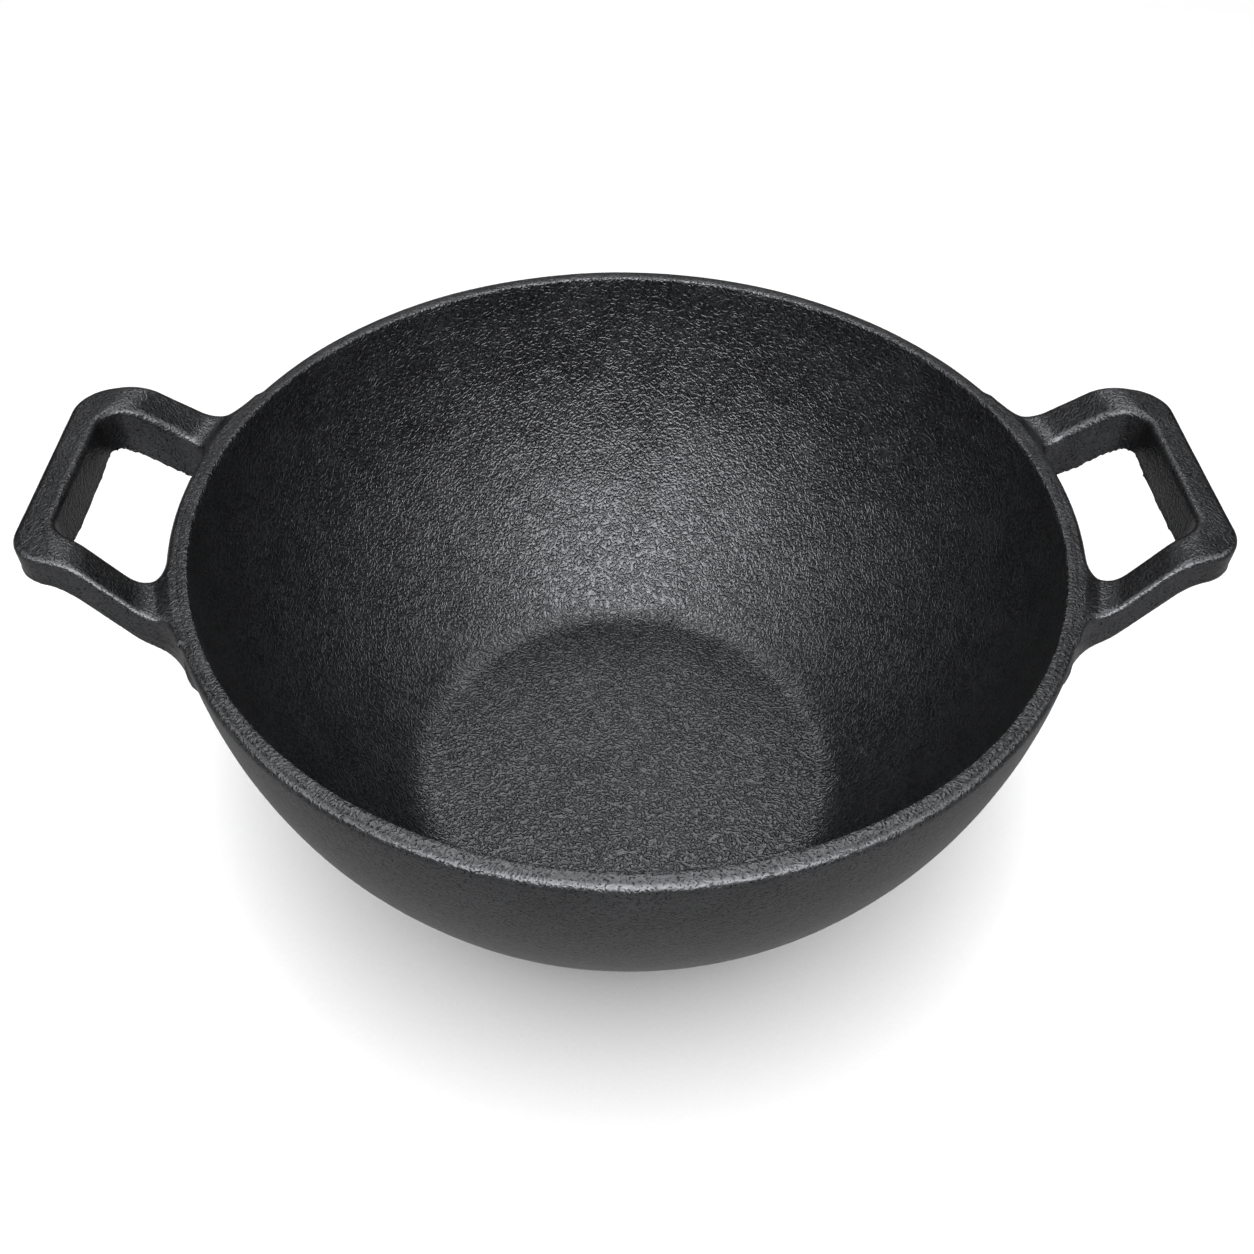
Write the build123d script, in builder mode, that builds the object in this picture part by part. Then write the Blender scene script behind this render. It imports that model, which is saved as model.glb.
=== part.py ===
from build123d import *
import math
import os

# A deep cast iron kadai: a bowl with a flat floor and two cast-on loop handles.
# Lengths are in millimetres, angles in degrees. +Z is up, X runs through both handles,
# and the origin is at the middle of the base, on the surface that the kadai stands on.

# Bowl
rim_diameter = 256.0
bowl_height = 124.0
wall_thickness = 5.3
floor_thickness = 5.5
wall_arc_radius = 143.0
lower_wall_angle = 60.0
base_corner_radius = 25.0
floor_corner_radius = 20.0
rim_outer_edge_radius = 2.0
rim_inner_edge_radius = 1.0

# Handle, seen from above
handle_reach = 34.0
grip_width = 9.0
arm_width = 11.3
handle_width_at_grip = 71.0
arm_splay_angle = 13.5
outer_corner_radius = 12.0
inner_corner_radius = 8.0
outer_root_radius = 16.0
inner_root_radius = 8.0

# Handle, seen from the side
grip_rise = 13.8
root_drop = 1.2
bar_depth = 11.8
rise_angle = 45.0
rise_start = 1.4
root_bend_radius = 8.0
grip_bend_radius = 12.0
under_root_bend_radius = 14.0
under_grip_bend_radius = 8.0
haunch_angle = 26.0
haunch_depth = 11.0
bar_top_edge_radius = 1.8
bar_bottom_chamfer = 2.6

# How far a blank runs past what trims it
overrun = 4.0
# How far a root flare's guide line runs inside the wall, so that the flare ends in a clean edge
flare_bite = 0.6
# Faces whose normal leans further than this from level are the bar's top or underside
slanted = 0.5

rim_radius = rim_diameter / 2
grip_radius = rim_radius + handle_reach
wall_arc_centre = rim_radius - wall_arc_radius


def wall_radius(height):
    """Outer radius of the upper wall at a height above the base."""
    drop = bowl_height - height
    return wall_arc_centre + math.sqrt(wall_arc_radius**2 - drop**2)


def draw_bowl_half(inset, floor, corner_radius):
    """Draw the closed half outline of the bowl, with its wall moved inwards by inset."""
    tilt = 90.0 - lower_wall_angle
    sine = math.sin(math.radians(tilt))
    cosine = math.cos(math.radians(tilt))
    arc_radius = wall_arc_radius - inset
    arc_end = (wall_arc_centre + arc_radius * cosine, bowl_height - arc_radius * sine)
    # The lower wall is the arc's tangent, run down to the floor.
    corner = wall_arc_centre + (arc_radius - (bowl_height - floor) * sine) / cosine
    FilletPolyline((0, floor), (corner, floor), arc_end, radius=corner_radius)
    CenterArc((wall_arc_centre, bowl_height), arc_radius, -tilt, tilt)
    Polyline((wall_arc_centre + arc_radius, bowl_height), (0, bowl_height), (0, floor))


# The bowl's outer shape, filled, which also trims the handles
with BuildPart() as bowl_outside:
    with BuildSketch(Plane.XZ) as outside_half:
        with BuildLine():
            draw_bowl_half(0, 0, base_corner_radius)
        make_face()
        rim_corner = outside_half.vertices().group_by(Axis.Y)[-1].sort_by(Axis.X)[-1]
        fillet(rim_corner, radius=rim_outer_edge_radius)
    revolve(axis=Axis.Z)

with BuildPart() as bowl:
    with BuildSketch(Plane.XZ) as wall_section:
        add(outside_half.sketch_local)
        with BuildLine():
            draw_bowl_half(wall_thickness, floor_thickness, floor_corner_radius)
        make_face(mode=Mode.SUBTRACT)
        rim_corners = wall_section.vertices().group_by(Axis.Y)[-1]
        fillet(rim_corners.sort_by(Axis.X)[0], radius=rim_inner_edge_radius)
    revolve(axis=Axis.Z)

# Heights and radii that the handle is drawn with
root_top = bowl_height - root_drop
grip_top = bowl_height + grip_rise
root_bottom = root_top - bar_depth
grip_bottom = grip_top - bar_depth
flare_bottom = root_bottom - haunch_depth
rise_run = (grip_top - root_top) / math.tan(math.radians(rise_angle))
rise_end = rise_start + rise_run
under_shift = bar_depth * math.tan(math.radians(rise_angle / 2))
guide_radius = wall_radius(flare_bottom) - flare_bite
splay = math.radians(arm_splay_angle)
arm_half_width = handle_width_at_grip / 2
arm_start = guide_radius - handle_reach / 2
hole_end = grip_radius - grip_width
haunch_start = rim_radius + rise_start + under_shift
haunch_end = root_bottom - (haunch_start - arm_start) * math.tan(math.radians(haunch_angle))


def arm_outer_edge(x):
    """Half width of the handle over its arms, at a distance x from the bowl's axis."""
    return arm_half_width + (grip_radius - x) * math.tan(splay)


def arm_inner_edge(x):
    """Half width of the finger hole, at a distance x from the bowl's axis."""
    return arm_outer_edge(x) - arm_width / math.cos(splay)


def arm_middle(x):
    """Half width of the handle over its arms' centre lines, at a distance x from the bowl's axis."""
    return (arm_outer_edge(x) + arm_inner_edge(x)) / 2


def beside_hole(edge):
    """Whether an edge's middle lies inside the bar's centre line, on the finger hole's side."""
    middle = edge.center()
    return abs(middle.Y) < arm_middle(middle.X) and middle.X < hole_end + grip_width / 2


def clear_of_wall(edge):
    """Whether an edge's middle stands off the bowl's wall."""
    middle = edge.center()
    return math.hypot(middle.X, middle.Y) > wall_radius(middle.Z) + flare_bite


def outline_edges(faces):
    """The outer edges of a run of faces, without those where two of its faces meet."""
    every_edge = [edge for face in faces for edge in face.edges()]
    outline = [edge for edge in every_edge if every_edge.count(edge) == 1]
    return ShapeList(outline).filter_by(clear_of_wall)


with BuildPart() as right_handle:
    # The loop's outline from above, with the finger hole, flared where the arms meet the rim
    with BuildSketch(Plane.XY.offset(flare_bottom)) as loop_outline:
        with BuildLine():
            FilletPolyline(
                (arm_start, -arm_outer_edge(arm_start)),
                (grip_radius, -arm_half_width),
                (grip_radius, arm_half_width),
                (arm_start, arm_outer_edge(arm_start)),
                radius=[0, outer_corner_radius, outer_corner_radius, 0],
                close=True,
            )
        make_face()
        Circle(guide_radius)
        fillet(loop_outline.vertices().group_by(Axis.X)[0], radius=outer_root_radius)
        with BuildSketch(mode=Mode.PRIVATE) as hole:
            with BuildLine():
                FilletPolyline(
                    (arm_start, -arm_inner_edge(arm_start)),
                    (hole_end, -arm_inner_edge(hole_end)),
                    (hole_end, arm_inner_edge(hole_end)),
                    (arm_start, arm_inner_edge(arm_start)),
                    radius=[0, inner_corner_radius, inner_corner_radius, 0],
                    close=True,
                )
            make_face()
            Circle(guide_radius, mode=Mode.SUBTRACT)
            fillet(hole.vertices().group_by(Axis.X)[0], radius=inner_root_radius)
        add(hole.sketch, mode=Mode.SUBTRACT)
    extrude(amount=grip_top - flare_bottom)
    # The bar's side view: level root, rise, level grip
    with BuildSketch(Plane.XZ) as side_view:
        with BuildLine():
            FilletPolyline(
                (arm_start, root_top),
                (rim_radius + rise_start, root_top),
                (rim_radius + rise_end, grip_top),
                (grip_radius + overrun, grip_top),
                (grip_radius + overrun, grip_bottom),
                (rim_radius + rise_end + under_shift, grip_bottom),
                (haunch_start, root_bottom),
                (arm_start, haunch_end),
                radius=[
                    0,
                    root_bend_radius,
                    grip_bend_radius,
                    0,
                    0,
                    under_grip_bend_radius,
                    under_root_bend_radius,
                    0,
                ],
                close=True,
            )
        make_face()
    extrude(amount=rim_radius, both=True, mode=Mode.INTERSECT)
    top_faces = right_handle.faces().filter_by(lambda face: face.normal_at().Z > slanted)
    fillet(outline_edges(top_faces), radius=bar_top_edge_radius)
    # The wall is taken away before the underside is chamfered, so that the roots end in clean edges
    add(bowl_outside.part, mode=Mode.SUBTRACT)
    # The underside is chamfered along its outside only, and stays sharp along the finger hole
    under_faces = right_handle.faces().filter_by(lambda face: face.normal_at().Z < -slanted)
    outer_edges = outline_edges(under_faces).filter_by(beside_hole, reverse=True)
    chamfer(outer_edges, length=bar_bottom_chamfer)

with BuildPart() as left_handle:
    add(right_handle.part.mirror(Plane.YZ))

os.makedirs("parts", exist_ok=True)
bowl.part.label = "bowl"
export_step(bowl.part, "parts/bowl.step")
right_handle.part.label = "right_handle"
export_step(right_handle.part, "parts/right_handle.step")
left_handle.part.label = "left_handle"
export_step(left_handle.part, "parts/left_handle.step")
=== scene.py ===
import math

import bpy
import numpy as np
from mathutils import Matrix, Vector


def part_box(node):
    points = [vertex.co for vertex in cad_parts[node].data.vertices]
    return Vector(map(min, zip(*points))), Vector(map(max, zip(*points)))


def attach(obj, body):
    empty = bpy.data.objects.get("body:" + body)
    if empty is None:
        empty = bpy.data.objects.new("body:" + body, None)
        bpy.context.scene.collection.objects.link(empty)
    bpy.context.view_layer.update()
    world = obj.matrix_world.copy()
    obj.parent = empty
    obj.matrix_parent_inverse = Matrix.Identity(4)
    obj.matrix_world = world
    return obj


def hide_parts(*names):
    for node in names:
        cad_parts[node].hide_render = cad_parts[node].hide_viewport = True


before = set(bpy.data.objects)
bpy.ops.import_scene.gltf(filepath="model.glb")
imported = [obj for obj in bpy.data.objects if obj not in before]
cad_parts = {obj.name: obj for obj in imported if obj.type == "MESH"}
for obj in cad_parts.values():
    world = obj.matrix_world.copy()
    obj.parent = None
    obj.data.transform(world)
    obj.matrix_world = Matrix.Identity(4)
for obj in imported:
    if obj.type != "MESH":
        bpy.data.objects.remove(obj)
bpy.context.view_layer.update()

# A deep cast iron kadai: a bowl and two loop handles, poured as one casting. The looks are made in
# millimetres, as closed meshes around the frame's three nodes, and scaled to metres at the end.
MM = 0.001

# Sizes read from the frame, in mm
bowl_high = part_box("bowl")[1]
handle_low, handle_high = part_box("right_handle")
rim_radius = round(bowl_high.x / MM, 1)
bowl_height = bowl_high.z / MM
grip_radius = handle_high.x / MM
grip_top = handle_high.z / MM

# Bowl, in mm and degrees
wall_thickness = 5.3
floor_thickness = 4.5
wall_arc_radius = 140.0
lower_wall_angle = 61.0
base_corner_radius = 28.5
floor_edge_radius = 72.5
floor_corner_radius = 13.0
rim_outer_edge_radius = 2.5
rim_inner_edge_radius = 1.2

# Handle from above, in mm and degrees
grip_width = 9.0
arm_width = 11.3
handle_width_at_grip = 71.0
arm_splay_angle = 13.5
outer_corner_radius = 12.0
inner_corner_radius = 8.0
outer_root_radius = 16.0
inner_root_radius = 8.0
flare_bite = 0.5
hole_draft_share = 0.045

# Handle from the side, in mm and degrees
root_drop = 1.4
bar_depth = 11.8
rise_foot_radius = 134.4
root_bend_radius = 9.0
grip_bend_radius = 13.0
under_root_bend_radius = 14.0
under_grip_bend_radius = 8.0
haunch_angle = 26.0
bar_top_edge_radius = 1.8
bar_bottom_chamfer = 2.8
hole_bottom_edge_radius = 0.4

# Casting marks on the handle, in mm
parting_depth = 8.3
parting_height = 0.22
parting_width = 0.4
flash_reach = 0.3
flash_width = 0.6

# Where the handle's surface melts into the bowl's, in mm
top_melt = 5.0
hole_melt = 1.5
under_melt = 7.0
melt_from_height = 120.0
melt_to_height = 110.0
melt_side_reach = 4.0
melt_top_reach = 1.5
melt_margin = 1.0
level_past_rim = 0.5
hidden_depth = 0.03
root_plug_radius = 125.0

# Iron: its colour and roughness
iron_colour = (0.1235, 0.125, 0.1305, 1)
smooth_roughness = 0.29
dull_roughness = 0.35
grit_roughness = 0.05

# The iron's grain: sizes in mm, then each form's share of its depth, the painted light and shade on
# its worms and in its pits, and how its patches tint the iron
grain_depth = 0.17
worm_bend = 2.5
worm_turns = 4.6
grit_size = 0.4
dent_size = 2.6
pit_size = 0.55
pit_from, pit_to = 0.3, 0.38
patch_size = 14.0
patch_from, patch_to = 0.3, 0.7
worm_share = 0.8
grit_share = 0.35
pit_share = 0.5
dent_share = 0.8
worm_shading_strength = 0.6
pit_painted_shade = 0.35
patch_contrast = 0.12
outside_grain = 0.4
grain_fade_from, grain_fade_width = 0.4, 0.5

# Mesh fineness, in mm, and in counts around the bowl
handle_step = 0.62
full_detail_reach = 2.5
bowl_segments = 440
wall_row = 2.0
corner_row = 1.3
edge_row = 0.3
flat_row = 4.0

# How a handle's vertices reach its surface: the least slope reckoned with, and a move's most mm
least_slope = 0.5
longest_move = 0.5

# How far a handle's grid runs past the root plug and the frame's handle, in mm
grid_inward = 22.0
grid_sideways = 20.0
grid_downward = 12.0
grid_outward = 3.0

# Floor and lamps: lengths in metres, and how bright the floor and the world are
floor_reach = 1.3
floor_corners = 96
floor_drop = 0.0003
floor_colour = 0.9
# The floor's painted shadow: how open the floor must be to show its full colour, and how far the
# shadow reaches
floor_open_share = 0.82
floor_painted_shadow_reach = 0.09
floor_glow = 0.2
floor_in_iron = 0.32
world_light = 0.02
lamp_distance = 2.0
lamp_aim_height = 0.06

# The photograph's camera: its place in mm, the directions it has right and ahead, and its lens
camera_place = (-8.7, -276.1, 360.8)
camera_right = (0.99974, -0.01763, 0.0139)
camera_ahead = (0.0222, 0.6922, -0.7214)
camera_lens = 36.23
camera_sensor = 36.0

wall_arc_centre = rim_radius - wall_arc_radius
root_bottom = bowl_height - root_drop - bar_depth
splay = math.radians(arm_splay_angle)

# How far the arms' outer sides pass the bowl's axis, and where their root flares meet the rim
arm_reach = handle_width_at_grip / 2 * math.cos(splay) + grip_radius * math.sin(splay)
outer_root_lean = (arm_reach + outer_root_radius) / (rim_radius + outer_root_radius)
inner_root_lean = (arm_reach - arm_width - inner_root_radius) / (rim_radius + inner_root_radius)
flare_end = math.pi / 2 - splay - math.acos(outer_root_lean)


def sine_field(seed, count, shortest, longest, height):
    """A smooth random height field over space, as a sum of sine waves with wavelengths in mm."""
    rng = np.random.default_rng(seed)
    directions = rng.normal(size=(count, 3))
    directions /= np.linalg.norm(directions, axis=1)[:, None]
    waves = directions * (2 * math.pi / rng.uniform(shortest, longest, count))[:, None]
    phases = rng.uniform(0, 2 * math.pi, count)
    scale = height * math.sqrt(2 / count)

    def field(points):
        return np.sin(points @ waves.T + phases).sum(axis=-1) * scale

    return field


# The surface's slow and quick unevenness, then how far the parting line and the flash stray
slow_wave = sine_field(1, 14, 38, 95, 0.045)
quick_wave = sine_field(2, 26, 7, 14, 0.008)
parting_wander = sine_field(3, 16, 5, 16, 0.3)
flash_wander = sine_field(4, 24, 3, 12, 0.35)


def casting_wave(points):
    """How far the casting's surface stands off its drawn shape."""
    base_fade = np.clip(points[..., 2] / base_corner_radius, 0, 1)
    return (slow_wave(points) + quick_wave(points)) * base_fade


# Distance fields: negative inside, in mm


def round_both(a, b, radius, lean=0.0):
    """Both of two shapes at once, with the edge between them rounded.

    Lean is the cosine of the angle between the two surfaces' outward directions.
    """
    a_in, b_in = a + radius, b + radius
    reach = np.maximum(a_in**2 + b_in**2 - 2 * lean * a_in * b_in, 0) / (1 - lean**2)
    between = (a_in > lean * b_in) & (b_in > lean * a_in)
    return np.where(between, np.sqrt(reach) - radius, np.maximum(a, b))


def round_either(a, b, radius, lean=0.0):
    """Either of two shapes, with the groove between them rounded."""
    return -round_both(-a, -b, radius, lean)


def chamfer_both(a, b, size):
    """Both of two shapes at once, with the edge between them chamfered."""
    return np.maximum(np.maximum(a, b), (a + b + size) / math.sqrt(2))


def melt(a, b, reach):
    """Either of two shapes, with their surfaces flowing together within reach."""
    share = np.maximum(reach - np.abs(a - b), 0) / reach
    return np.minimum(a, b) - share**2 * reach / 4


def fade(value, start, end):
    """0 at start, 1 at end, smooth between."""
    share = np.clip((value - start) / (end - start), 0, 1)
    return share * share * (3 - 2 * share)


def rim_field(radius, z):
    """The bowl's upper wall and rim."""
    reach = np.hypot(radius - wall_arc_centre, z - bowl_height)
    outside = reach - wall_arc_radius
    inside = wall_arc_radius - wall_thickness - reach
    top = z - bowl_height
    return round_both(round_both(outside, top, rim_outer_edge_radius), inside, rim_inner_edge_radius)


def handle_field(x, y, z, wander, flash):
    """The right handle, run on into the bowl's wall."""
    radius = np.hypot(x, y)
    wall = np.hypot(radius - wall_arc_centre, z - bowl_height) - wall_arc_radius + flare_bite
    side = np.abs(y)
    cosine = math.cos(splay)
    arm_outside = handle_width_at_grip / 2 + (grip_radius - x) * math.tan(splay)
    corner_lean = math.sin(splay)
    arm = (side - arm_outside) * cosine
    outside = round_both(x - grip_radius, arm, outer_corner_radius, corner_lean)
    outside = round_either(outside, wall, outer_root_radius, outer_root_lean)
    outside = np.maximum(outside, side * math.cos(flare_end) - x * math.sin(flare_end))
    hole_end = x - (grip_radius - grip_width)
    hole = round_both(hole_end, arm + arm_width, inner_corner_radius, corner_lean)
    hole = round_both(hole, -wall, inner_root_radius, -inner_root_lean)

    # Seen from the side, the bar rises from the rim to the grip at 45 degrees.
    slope = (z - bowl_height + root_drop - (radius - rise_foot_radius)) / math.sqrt(2)
    rise_lean = math.sqrt(0.5)
    top = round_both(slope, z - grip_top, grip_bend_radius, rise_lean)
    top = round_either(z - bowl_height + root_drop, top, root_bend_radius, rise_lean)
    haunch = math.radians(haunch_angle)
    under_shift = bar_depth * math.tan(math.radians(22.5))
    over_haunch = (rise_foot_radius + under_shift - radius) * math.tan(haunch)
    haunch_side = (root_bottom - over_haunch - z) * math.cos(haunch)
    haunch_lean = math.cos(math.radians(45) - haunch)
    under = round_both(haunch_side, -slope - bar_depth, under_root_bend_radius, haunch_lean)
    under = round_either(under, grip_top - bar_depth - z, under_grip_bend_radius, rise_lean)

    # The parting line runs round the outside, and the hole narrows downwards to a broken edge.
    ridge = np.exp(-(((-top - parting_depth - wander) / parting_width) ** 2))
    outside = outside - parting_height * ridge
    edge = np.exp(-((under / flash_width) ** 2))
    bar = -hole + np.minimum(top, 0) * hole_draft_share - flash_reach * edge * (1 + flash)
    solid = round_both(outside, top, bar_top_edge_radius)
    solid = np.maximum(solid, round_both(bar, top, bar_top_edge_radius))
    solid = np.maximum(solid, chamfer_both(outside, under, bar_bottom_chamfer))
    return np.maximum(solid, round_both(bar, under, hole_bottom_edge_radius))


def casting_field(points, mirror, plain=False):
    """One handle with the part of the bowl's surface that it melts into."""
    x = points[..., 0] * mirror
    y = points[..., 1]
    z = points[..., 2]
    radius = np.hypot(x, y)
    wave = 0 if plain else casting_wave(points)
    wander = 0 if plain else parting_wander(points)
    flash = 0 if plain else flash_wander(points)
    handle = handle_field(x, y, z, wander, flash) - wave
    bowl = rim_field(radius, z) - wave + hidden_depth
    arm_middle = handle_width_at_grip / 2 + (grip_radius - x) * math.tan(splay) - arm_width / 2
    beside = fade(np.abs(y) - arm_middle, -melt_side_reach, melt_side_reach)
    below = fade(z, melt_from_height, melt_to_height)
    above = fade(z - bowl_height + root_drop, -melt_top_reach, 0)
    reach = hole_melt + (under_melt - hole_melt) * below * beside
    reach = reach + (top_melt - reach) * above
    # Over the rim the melt stays level with the rim's top.
    past_rim = np.maximum(radius - rim_radius - level_past_rim, 0)
    level = z - bowl_height + hidden_depth - wave - past_rim
    body = np.maximum(melt(handle, bowl, reach), level)
    near = handle - reach - melt_margin
    return np.maximum(np.maximum(body, root_plug_radius - radius), near)


def gradient(field, points, step=0.02):
    """Slope of a field at points, by central differences."""
    result = np.empty_like(points)
    for axis in range(3):
        offset = np.zeros(3)
        offset[axis] = step
        result[:, axis] = (field(points + offset) - field(points - offset)) / (2 * step)
    return result


def cell_vertices(values, low, step):
    """Grid cells that the surface crosses, with the middle of its crossings in each."""
    inside = values < 0
    shape = np.array(values.shape) - 1
    total = np.zeros((*shape, 3))
    count = np.zeros(shape)
    for axis in range(3):
        others = [other for other in range(3) if other != axis]
        for first in (0, 1):
            for second in (0, 1):
                start = [0, 0, 0]
                start[others[0]] = first
                start[others[1]] = second
                end = list(start)
                end[axis] = 1
                a_at = tuple(slice(s, s + n) for s, n in zip(start, shape))
                b_at = tuple(slice(s, s + n) for s, n in zip(end, shape))
                crossed = inside[a_at] != inside[b_at]
                a = values[a_at][crossed]
                b = values[b_at][crossed]
                place = np.tile(np.array(start, float), (len(a), 1))
                place[:, axis] = a / (a - b)
                total[crossed] += place
                count[crossed] += 1
    used = count > 0
    cells = np.argwhere(used)
    vertices = low + (cells + total[used] / count[used][:, None]) * step
    index = np.full(shape, -1)
    index[used] = np.arange(len(cells))
    return vertices, index


def net_faces(values, index):
    """Quads that join the cells around each grid edge that the surface crosses."""
    inside = values < 0
    quads = []
    for axis in range(3):
        u, v = (axis + 1) % 3, (axis + 2) % 3
        a_at = [slice(1, -1)] * 3
        a_at[axis] = slice(0, -1)
        b_at = list(a_at)
        b_at[axis] = slice(1, None)
        a = inside[tuple(a_at)]
        crossed = a != inside[tuple(b_at)]
        at = np.argwhere(crossed)
        at[:, u] += 1
        at[:, v] += 1
        back_u, back_v = np.zeros(3, int), np.zeros(3, int)
        back_u[u] = 1
        back_v[v] = 1
        ring = [at - back_u - back_v, at - back_v, at, at - back_u]
        corners = np.stack([index[tuple(cell.T)] for cell in ring], axis=1)
        turned = ~a[crossed]
        corners[turned] = corners[turned][:, ::-1]
        quads.append(corners)
    return np.concatenate(quads)


def settle(field, vertices, quads, rounds=5):
    """Even out a net's vertices, keeping them on the field's surface."""
    def plain(points):
        return field(points, plain=True)

    pairs = np.concatenate([quads[:, [i, (i + 1) % 4]] for i in range(4)])
    pairs = np.concatenate([pairs, pairs[:, ::-1]])
    degree = np.bincount(pairs[:, 0], minlength=len(vertices))[:, None]
    for turn in range(rounds + 1):
        if turn:
            mean = np.stack(
                [np.bincount(pairs[:, 0], vertices[pairs[:, 1], a], len(vertices)) for a in range(3)],
                axis=1,
            )
            vertices = (vertices + mean / degree) / 2
        for _ in range(2):
            slope = gradient(plain, vertices)
            length = np.maximum((slope**2).sum(axis=1), least_slope**2)
            move = slope * (field(vertices) / length)[:, None]
            size = np.linalg.norm(move, axis=1)[:, None]
            vertices = vertices - move * np.minimum(1, longest_move / np.maximum(size, 1e-9))
    return vertices


def handle_mesh(mirror):
    """Vertices and quads of one handle's casting."""
    low = np.array(
        [
            root_plug_radius - grid_inward,
            handle_low.y / MM - grid_sideways,
            handle_low.z / MM - grid_downward,
        ]
    )
    high = np.array(
        [
            grip_radius + grid_outward,
            handle_high.y / MM + grid_sideways,
            grip_top + grid_outward,
        ]
    )
    counts = np.ceil((high - low) / handle_step).astype(int)
    axes = [low[a] + handle_step * np.arange(counts[a]) for a in range(3)]
    values = np.empty(counts)

    def field(points, plain=False):
        return casting_field(points * [mirror, 1, 1], mirror, plain)

    y, z = np.meshgrid(axes[1], axes[2], indexing="ij")
    for i, x in enumerate(axes[0]):
        places = np.stack([np.full_like(y, x), y, z], axis=-1)
        values[i] = field(places, plain=True)
        near = np.abs(values[i]) < full_detail_reach
        values[i][near] = field(places[near])
    vertices, index = cell_vertices(values, low, handle_step)
    quads = net_faces(values, index)
    vertices = settle(field, vertices, quads)
    if mirror < 0:
        vertices = vertices * [-1, 1, 1]
        quads = quads[:, ::-1]
    return vertices, quads


def arc_points(centre, radius, start, end, row):
    """Points along an arc, about a row apart, with its end and without its start."""
    count = max(2, round(abs(end - start) * radius / row))
    angles = start + (end - start) * np.arange(1, count + 1) / count
    return np.stack([centre[0] + radius * np.cos(angles), centre[1] + radius * np.sin(angles)], axis=1)


def line_points(start, end, row):
    """Points along a line, about a row apart, with its end and without its start."""
    start, end = np.array(start, float), np.array(end, float)
    count = max(1, round(np.linalg.norm(end - start) / row))
    return start + (end - start) * (np.arange(1, count + 1) / count)[:, None]


def flat_points(end, height):
    """Points along a level floor, from its middle out to its end."""
    first = (flat_row / 2, height)
    return np.concatenate([[(0, height), first], line_points(first, (end, height), flat_row)])


def outside_points(turn_end):
    """The outside, from the middle of the base up to just below the rim's edge rounding."""
    tilt = math.radians(90 - lower_wall_angle)
    sine, cosine = math.sin(tilt), math.cos(tilt)
    corner = wall_arc_centre + (wall_arc_radius - bowl_height * sine) / cosine
    middle = corner - base_corner_radius * math.tan(math.radians(lower_wall_angle) / 2)
    corner_end = (middle + base_corner_radius * cosine, base_corner_radius * (1 - sine))
    arc_end = (wall_arc_centre + wall_arc_radius * cosine, bowl_height - wall_arc_radius * sine)
    centre = (middle, base_corner_radius)
    return np.concatenate(
        [
            flat_points(middle, 0),
            arc_points(centre, base_corner_radius, -math.pi / 2, -tilt, corner_row),
            line_points(corner_end, arc_end, wall_row),
            arc_points((wall_arc_centre, bowl_height), wall_arc_radius, -tilt, turn_end, wall_row),
        ]
    )


def inside_arc():
    """Centre and radius of the inside's one long arc, from the rim down to the floor's edge."""
    rim, depth = rim_radius - wall_thickness, bowl_height - floor_thickness
    centre = (rim**2 - floor_edge_radius**2 - depth**2) / (2 * (rim - floor_edge_radius))
    return centre, rim - centre


def inside_points(turn_end):
    """The inside, from the middle of the floor up to just below the rim's edge rounding."""
    arc_centre, arc_radius = inside_arc()
    height = floor_thickness + floor_corner_radius
    drop = bowl_height - height
    middle = arc_centre + math.sqrt((arc_radius - floor_corner_radius) ** 2 - drop**2)
    turn = -math.asin(drop / (arc_radius - floor_corner_radius))
    return np.concatenate(
        [
            flat_points(middle, floor_thickness),
            arc_points((middle, height), floor_corner_radius, -math.pi / 2, turn, corner_row),
            arc_points((arc_centre, bowl_height), arc_radius, turn, turn_end, wall_row),
        ]
    )


def bowl_profile():
    """The bowl's whole section, from under the floor, over the rim, to the floor's inside."""
    outer, inner = rim_outer_edge_radius, rim_inner_edge_radius
    arc_centre, arc_radius = inside_arc()
    outer_turn = -math.asin(outer / (wall_arc_radius - outer))
    inner_turn = -math.asin(inner / (arc_radius + inner))
    outer_centre = (
        wall_arc_centre + (wall_arc_radius - outer) * math.cos(outer_turn),
        bowl_height - outer,
    )
    inner_centre = (arc_centre + (arc_radius + inner) * math.cos(inner_turn), bowl_height - inner)
    over = arc_points(outer_centre, outer, outer_turn, math.pi / 2, edge_row)
    back = arc_points(inner_centre, inner, math.pi / 2, math.pi + inner_turn, edge_row)
    across = line_points(over[-1], (inner_centre[0], bowl_height), edge_row * 2)
    return np.concatenate(
        [outside_points(outer_turn), over, across, back[:-1], inside_points(inner_turn)[::-1]]
    )


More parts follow.
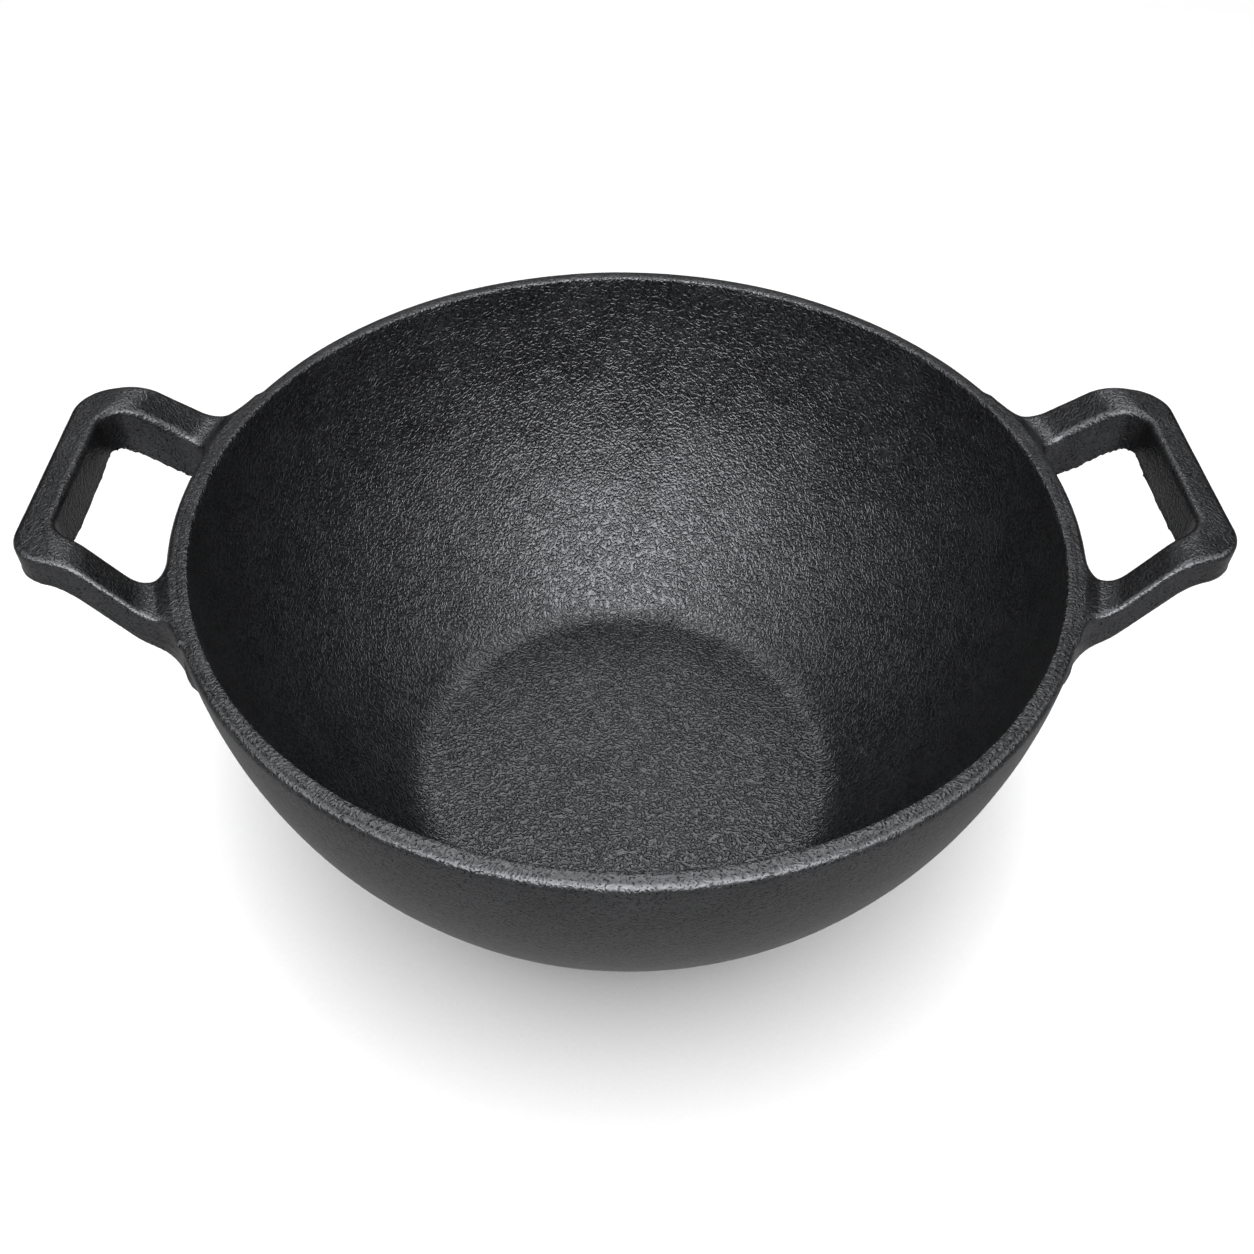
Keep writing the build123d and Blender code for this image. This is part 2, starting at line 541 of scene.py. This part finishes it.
def bowl_mesh():
    """Vertices and faces of the bowl, turned round from its section and given the casting's wave."""
    profile = bowl_profile()
    turns = 2 * math.pi * np.arange(bowl_segments) / bowl_segments
    rings = profile[1:-1]
    along = np.gradient(rings, axis=0)
    along /= np.linalg.norm(along, axis=1)[:, None]
    out = np.stack([along[:, 1], -along[:, 0]], axis=1)
    directions = np.stack([np.cos(turns), np.sin(turns)], axis=1)
    places = np.concatenate(
        [
            rings[:, None, :1] * directions[None],
            np.broadcast_to(rings[:, None, 1:], (len(rings), bowl_segments, 1)),
        ],
        axis=2,
    )
    normals = np.concatenate(
        [
            out[:, None, :1] * directions[None],
            np.broadcast_to(out[:, None, 1:], (len(rings), bowl_segments, 1)),
        ],
        axis=2,
    )
    places = places + normals * casting_wave(places)[..., None]
    vertices = places.reshape(-1, 3)
    ends = np.array([[0, 0, profile[0, 1]], [0, 0, profile[-1, 1]]])
    ends[1, 2] += casting_wave(ends[1:])[0]
    vertices = np.concatenate([vertices, ends])
    here = np.arange(bowl_segments)
    onward = (here + 1) % bowl_segments
    faces = []
    for row in range(len(rings) - 1):
        low, high = row * bowl_segments, (row + 1) * bowl_segments
        faces.append(np.stack([low + here, low + onward, high + onward, high + here], axis=1))
    quads = np.concatenate(faces)
    last = (len(rings) - 1) * bowl_segments
    under_cap = np.stack([here, np.full_like(here, len(vertices) - 2), onward], axis=1)
    floor_cap = np.stack([last + onward, np.full_like(here, len(vertices) - 1), last + here], axis=1)
    return vertices, quads.tolist() + under_cap.tolist() + floor_cap.tolist()


def make_object(name, vertices, faces):
    """A smooth shaded object from vertices in mm."""
    mesh = bpy.data.meshes.new(name)
    mesh.from_pydata((np.asarray(vertices) * MM).tolist(), [], [list(face) for face in faces])
    mesh.validate()
    mesh.polygons.foreach_set("use_smooth", np.ones(len(mesh.polygons), bool))
    mesh.update()
    piece = bpy.data.objects.new(name, mesh)
    bpy.context.scene.collection.objects.link(piece)
    return piece


# Material


class Nodes:
    """A short way to add and join the nodes of one material."""

    def __init__(self, tree):
        self.tree = tree

    def add(self, kind, inputs=None, **settings):
        node = self.tree.nodes.new(kind)
        for name, value in settings.items():
            setattr(node, name, value)
        for name, value in (inputs or {}).items():
            self.put(node.inputs[name], value)
        return node

    def put(self, socket, value):
        if isinstance(value, bpy.types.NodeSocket):
            self.tree.links.new(value, socket)
        else:
            socket.default_value = value

    def math(self, operation, a, b=0.0, c=0.0):
        node = self.add("ShaderNodeMath", operation=operation)
        for socket, value in zip(node.inputs, (a, b, c)):
            self.put(socket, value)
        return node.outputs[0]

    def spread(self, value, low, high, to_low, to_high, smooth=False):
        """A value that goes from to_low to to_high as another goes from low to high."""
        kind = "SMOOTHSTEP" if smooth else "LINEAR"
        node = self.add("ShaderNodeMapRange", interpolation_type=kind)
        for socket, given in zip(node.inputs[:5], (value, low, high, to_low, to_high)):
            self.put(socket, given)
        return node.outputs[0]

    def noise(self, place, size, detail=0.0, roughness=0.5):
        """Smooth noise with features of about size, in mm."""
        inputs = {
            "Vector": place,
            "Scale": 1 / (size * MM),
            "Detail": detail,
            "Roughness": roughness,
        }
        return self.add("ShaderNodeTexNoise", inputs).outputs[0]


def iron_material():
    """Black seasoned iron with the worm-like grain of a sand casting, with painted light and shade on
    the grain's worms and pits.
    """
    material = bpy.data.materials.new("grained_iron")
    material.use_nodes = True
    nodes = Nodes(material.node_tree)
    shader = material.node_tree.nodes["Principled BSDF"]
    place = nodes.add("ShaderNodeTexCoord").outputs["Object"]

    # Inside, the grain has its full strength. Outside and on the handles it is weaker.
    arc_centre, arc_radius = inside_arc()
    parts = nodes.add("ShaderNodeSeparateXYZ", {"Vector": place}).outputs
    across = nodes.math("MULTIPLY", parts[0], parts[0])
    across = nodes.math("SQRT", nodes.math("MULTIPLY_ADD", parts[1], parts[1], across))
    across = nodes.math("SUBTRACT", across, arc_centre * MM)
    drop = nodes.math("SUBTRACT", parts[2], bowl_height * MM)
    reach = nodes.math("MULTIPLY", across, across)
    reach = nodes.math("SQRT", nodes.math("MULTIPLY_ADD", drop, drop, reach))
    inner_skin = (arc_radius + grain_fade_from) * MM
    fade_end = inner_skin + grain_fade_width * MM
    strength = nodes.spread(reach, inner_skin, fade_end, 1.0, outside_grain)

    # The contour lines of a smooth noise run like worms. Pits are 0 in the noise's low spots.
    bends = nodes.noise(place, worm_bend, detail=1.0, roughness=0.45)
    worms = nodes.math("SINE", nodes.math("MULTIPLY", bends, 2 * math.pi * worm_turns))
    worms = nodes.math("MULTIPLY_ADD", worms, 0.5, 0.5)
    grit = nodes.noise(place, grit_size, detail=2.0)
    dents = nodes.noise(place, dent_size, detail=1.0)
    pits = nodes.spread(nodes.noise(place, pit_size), pit_from, pit_to, 0, 1, smooth=True)
    height = nodes.math("MULTIPLY_ADD", worms, worm_share, nodes.math("MULTIPLY", grit, grit_share))
    height = nodes.math("MULTIPLY_ADD", pits, pit_share, height)
    height = nodes.math("MULTIPLY_ADD", dents, dent_share, height)
    height = nodes.math("MULTIPLY", height, strength)
    bump = nodes.add("ShaderNodeBump", {"Height": height, "Distance": grain_depth * MM})
    nodes.put(shader.inputs["Normal"], bump.outputs[0])

    patches = nodes.noise(place, patch_size, detail=3.0)
    tone_and_painted_shade = nodes.spread(patches, patch_from, patch_to, 1 - patch_contrast, 1 + patch_contrast)
    # Painted light and shade: the worms' ridges are painted lighter and their grooves darker.
    painted_worm_shading = nodes.math("MULTIPLY", nodes.math("SUBTRACT", worms, 0.5), strength)
    tone_and_painted_shade = nodes.math("MULTIPLY", tone_and_painted_shade, nodes.math("MULTIPLY_ADD", painted_worm_shading, worm_shading_strength, 1.0))
    # Painted shade: the pits are darker.
    tone_and_painted_shade = nodes.math("MULTIPLY", tone_and_painted_shade, nodes.spread(pits, 0, 1, pit_painted_shade, 1.0))
    colour = nodes.add("ShaderNodeMix", data_type="RGBA", blend_type="MULTIPLY")
    colour.inputs[0].default_value = 1
    nodes.put(colour.inputs[6], iron_colour)
    nodes.put(colour.inputs[7], tone_and_painted_shade)
    nodes.put(shader.inputs["Base Color"], colour.outputs[2])
    shader.inputs["Metallic"].default_value = 1
    rough = nodes.spread(patches, patch_from, patch_to, smooth_roughness, dull_roughness)
    rough = nodes.math("MULTIPLY_ADD", grit, grit_roughness, rough)
    nodes.put(shader.inputs["Roughness"], rough)
    return material


# Stage


def floor_material():
    """White paper that keeps the object's shadow, with a painted shadow darkening it under the object;
    it is white to the camera and soft grey to the iron.
    """
    material = bpy.data.materials.new("white_floor")
    material.use_nodes = True
    nodes = Nodes(material.node_tree)
    tree = material.node_tree
    tree.nodes.remove(tree.nodes["Principled BSDF"])
    ray = nodes.add("ShaderNodeLightPath").outputs
    # Painted shadow: the floor's colour darkens with its ambient occlusion where the object stands
    # close over it.
    openness = nodes.add("ShaderNodeAmbientOcclusion", {"Distance": floor_painted_shadow_reach}).outputs["AO"]
    shade = nodes.spread(openness, 0, floor_open_share, 0.0, floor_colour)
    paper = nodes.add("ShaderNodeBsdfDiffuse", {"Color": shade})
    glow = nodes.add("ShaderNodeEmission", {"Color": shade})
    nodes.put(glow.inputs["Strength"], nodes.math("MULTIPLY", ray["Is Camera Ray"], floor_glow))
    both = nodes.add("ShaderNodeAddShader")
    nodes.put(both.inputs[0], paper.outputs[0])
    nodes.put(both.inputs[1], glow.outputs[0])
    # The iron shows the floor as one even, softer white.
    reflected = nodes.add("ShaderNodeEmission", {"Color": (1, 1, 1, 1), "Strength": floor_in_iron})
    shown = nodes.add("ShaderNodeMixShader")
    nodes.put(shown.inputs[0], ray["Is Glossy Ray"])
    nodes.put(shown.inputs[1], both.outputs[0])
    nodes.put(shown.inputs[2], reflected.outputs[0])
    nodes.put(tree.nodes["Material Output"].inputs["Surface"], shown.outputs[0])
    return material


def make_floor():
    """A white disc under the kadai."""
    turns = [2 * math.pi * i / floor_corners for i in range(floor_corners)]
    edge = [(floor_reach * math.cos(t), floor_reach * math.sin(t), -floor_drop) for t in turns]
    mesh = bpy.data.meshes.new("floor")
    mesh.from_pydata(edge, [], [list(range(floor_corners))])
    floor = bpy.data.objects.new("floor", mesh)
    bpy.context.scene.collection.objects.link(floor)
    mesh.materials.append(floor_material())


def make_light(name, turn, rise, width, height, power):
    """A wide soft lamp, turned in degrees from the front and raised from the floor.

    Its width and height are in metres, and its power is in watts.
    """
    lamp = bpy.data.lights.new(name, "AREA")
    lamp.shape = "RECTANGLE"
    lamp.size = width
    lamp.size_y = height
    lamp.energy = power
    holder = bpy.data.objects.new(name, lamp)
    bpy.context.scene.collection.objects.link(holder)
    holder.visible_camera = False
    turn, rise = math.radians(turn), math.radians(rise)
    out = Vector((math.sin(turn) * math.cos(rise), -math.cos(turn) * math.cos(rise), math.sin(rise)))
    holder.location = Vector((0, 0, lamp_aim_height)) + out * lamp_distance
    holder.rotation_euler = (-out).to_track_quat("-Z", "Y").to_euler()


def make_world():
    """White to the camera, and dark to everything else."""
    world = bpy.data.worlds.new("studio")
    bpy.context.scene.world = world
    world.use_nodes = True
    nodes = Nodes(world.node_tree)
    background = world.node_tree.nodes["Background"]
    seen = nodes.add("ShaderNodeLightPath").outputs["Is Camera Ray"]
    nodes.put(background.inputs["Color"], (1, 1, 1, 1))
    nodes.put(background.inputs["Strength"], nodes.spread(seen, 0, 1, world_light, 1))


def make_camera():
    """The photograph's camera, fitted to the rim's circles and the handles."""
    camera = bpy.data.cameras.new("camera")
    holder = bpy.data.objects.new("camera", camera)
    bpy.context.scene.collection.objects.link(holder)
    right = Vector(camera_right).normalized()
    up = right.cross(Vector(camera_ahead)).normalized()
    ahead = up.cross(right)
    turn = Matrix((right, up, -ahead)).transposed()
    holder.matrix_world = Matrix.Translation(Vector(camera_place) * MM) @ turn.to_4x4()
    camera.sensor_width = camera_sensor
    camera.lens = camera_lens
    camera.clip_start = 0.01
    bpy.context.scene.camera = holder


def build():
    """Make the three pieces of the casting, each in the place of its node."""
    iron = iron_material()
    shapes = {
        "bowl": bowl_mesh(),
        "left_handle": handle_mesh(-1),
        "right_handle": handle_mesh(1),
    }
    for node, (vertices, faces) in shapes.items():
        piece = make_object(node + "_casting", vertices, faces)
        piece.data.materials.append(iron)
        print(piece.name, len(piece.data.vertices), len(piece.data.polygons))
        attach(piece, "root")
        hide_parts(node)


build()
make_floor()
# Degrees round from the front, degrees up, width and height in metres, watts
make_light("front", 0, 34, 2.8, 0.9, 35)
make_light("front_left", -55, 28, 1.45, 0.75, 7.5)
make_light("front_right", 55, 28, 1.45, 0.75, 7.5)
make_light("left", -90, 42, 1.2, 1.2, 5.5)
make_light("right", 90, 42, 1.2, 1.2, 5.5)
make_light("over_front", 0, 62, 1.5, 1.3, 18)
make_light("overhead", 180, 86, 1.3, 0.8, 4)
make_light("over_back", 180, 62, 1.4, 0.6, 7.2)
make_light("back", 180, 30, 2.4, 0.85, 2)
make_world()
make_camera()
bpy.context.scene.view_settings.view_transform = "Standard"
